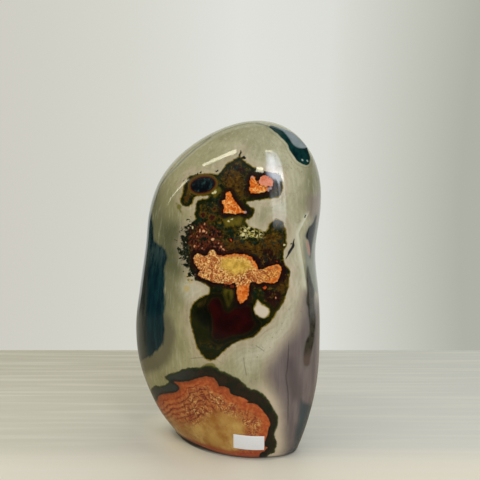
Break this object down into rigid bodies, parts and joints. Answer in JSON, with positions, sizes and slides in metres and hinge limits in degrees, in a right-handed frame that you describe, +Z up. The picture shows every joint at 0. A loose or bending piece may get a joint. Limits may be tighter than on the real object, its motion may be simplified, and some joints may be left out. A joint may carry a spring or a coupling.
{
  "type": "polychrome jasper freeform",
  "caption": "Upright freeform of polished multicoloured jasper, oval in section with a rounded crest and a slight waist, standing on a sawn flat base, with a small paper label on its front.",
  "frame": {"origin": "on the plane of the sawn base, under the middle of the stone's bounding box", "axes": "+Z up from the base to the crest, -Y out of the broad figured front face that carries the label, +X to the right as that face is looked at"},
  "size_m": [0.14, 0.095, 0.24],
  "materials": {
    "jasper": "polished",
    "label": "matte"
  },
  "bodies": {
    "root": {"stone": "jasper", "label": "label"}
  },
  "joints": []
}
